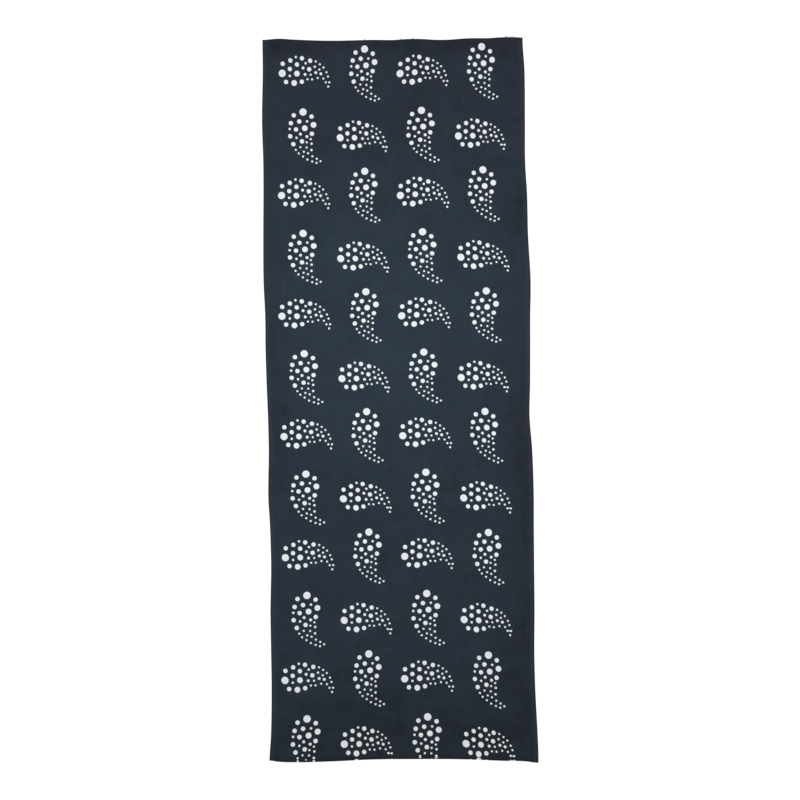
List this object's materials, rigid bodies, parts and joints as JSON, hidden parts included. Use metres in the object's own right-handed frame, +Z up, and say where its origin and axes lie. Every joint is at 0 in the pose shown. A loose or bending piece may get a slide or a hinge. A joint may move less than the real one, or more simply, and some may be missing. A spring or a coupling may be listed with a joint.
{
  "type": "oblong bandana",
  "caption": "Long narrow cotton bandana with hemmed edges and a dotted paisley print, lying flat; tied round the neck, the head or a bag handle.",
  "frame": {"origin": "under the middle of the cloth, on the surface it lies on", "axes": "+X across the cloth to the right, +Y along the cloth from its foot to its head, +Z up, out of the printed side"},
  "size_m": [0.2682, 0.7037, 0.0034],
  "materials": {
    "printed_cotton": "matt plain-weave cotton, dark blue-grey with white dotted print"
  },
  "bodies": {
    "root": {"bandana": "printed_cotton"}
  },
  "joints": []
}
